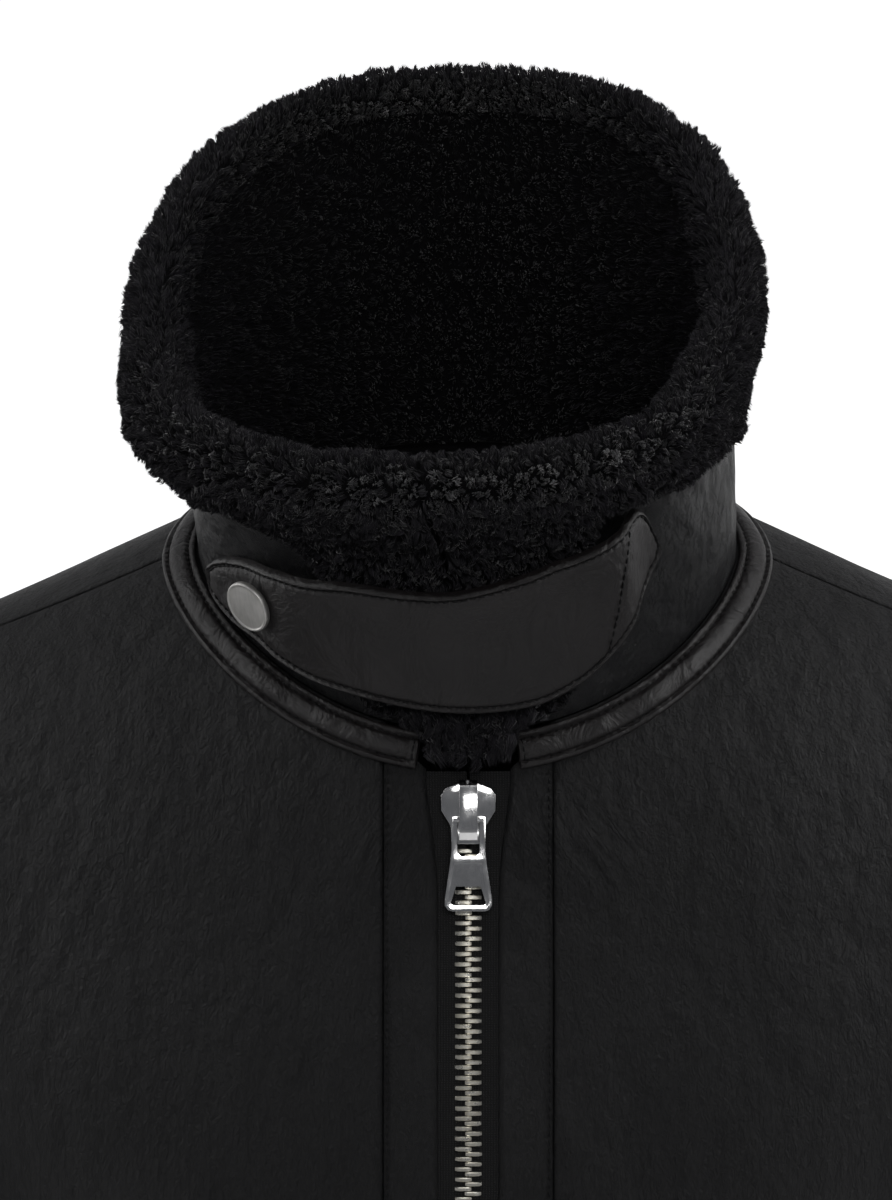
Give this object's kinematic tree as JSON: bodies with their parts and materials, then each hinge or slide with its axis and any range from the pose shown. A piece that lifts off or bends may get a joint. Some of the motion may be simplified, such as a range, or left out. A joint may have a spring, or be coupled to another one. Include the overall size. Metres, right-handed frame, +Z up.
{
  "type": "shearling coat",
  "caption": "Hip-length shearling coat with a zip front, a high rolled wool collar, a stitched neck band and a throat strap held by a snap.",
  "frame": {"origin": "between the shoulders, level with the middle of the neck seam's sides, where the wearer's shoulders and neck hold the coat up", "axes": "+Z up along the centre front's zip towards the collar; +X towards the wearer's left sleeve; -Y out of the front"},
  "size_m": [0.7034, 0.2766, 0.8982],
  "materials": {
    "hide": "matt suede-like nappa with a fine grain",
    "smooth_leather": "smooth, slightly shiny",
    "collar_leather": "grained and lightly shiny",
    "wool": "curled shearling wool",
    "zip_tape": "woven",
    "zip_metal": "antique nickel, polished on the edges",
    "snap_metal": "brushed"
  },
  "bodies": {
    "coat": {"front_left": "hide", "front_right": "hide", "front_strip_left": "hide", "front_strip_right": "hide", "back": "hide", "upper_sleeve_left": "hide", "upper_sleeve_right": "hide", "under_sleeve_left": "hide", "under_sleeve_right": "hide", "collar_hide": "collar_leather", "collar_wool": "wool", "neck_band": "smooth_leather", "collar_strap": "smooth_leather", "zip_tape_left": "zip_tape", "zip_tape_right": "zip_tape", "zip_chain": "zip_metal", "zip_slider": "zip_metal", "zip_box": "zip_metal", "snap_cap": "snap_metal"},
    "zip_pull": {"zip_pull": "zip_metal"}
  },
  "joints": [
    {"name": "zip_pull_swing", "type": "hinge", "parent": "coat", "child": "zip_pull", "pos_m": [0, -0.0929, -0.0635], "axis": [-1, 0, 0], "range_deg": [0, 150]}
  ]
}
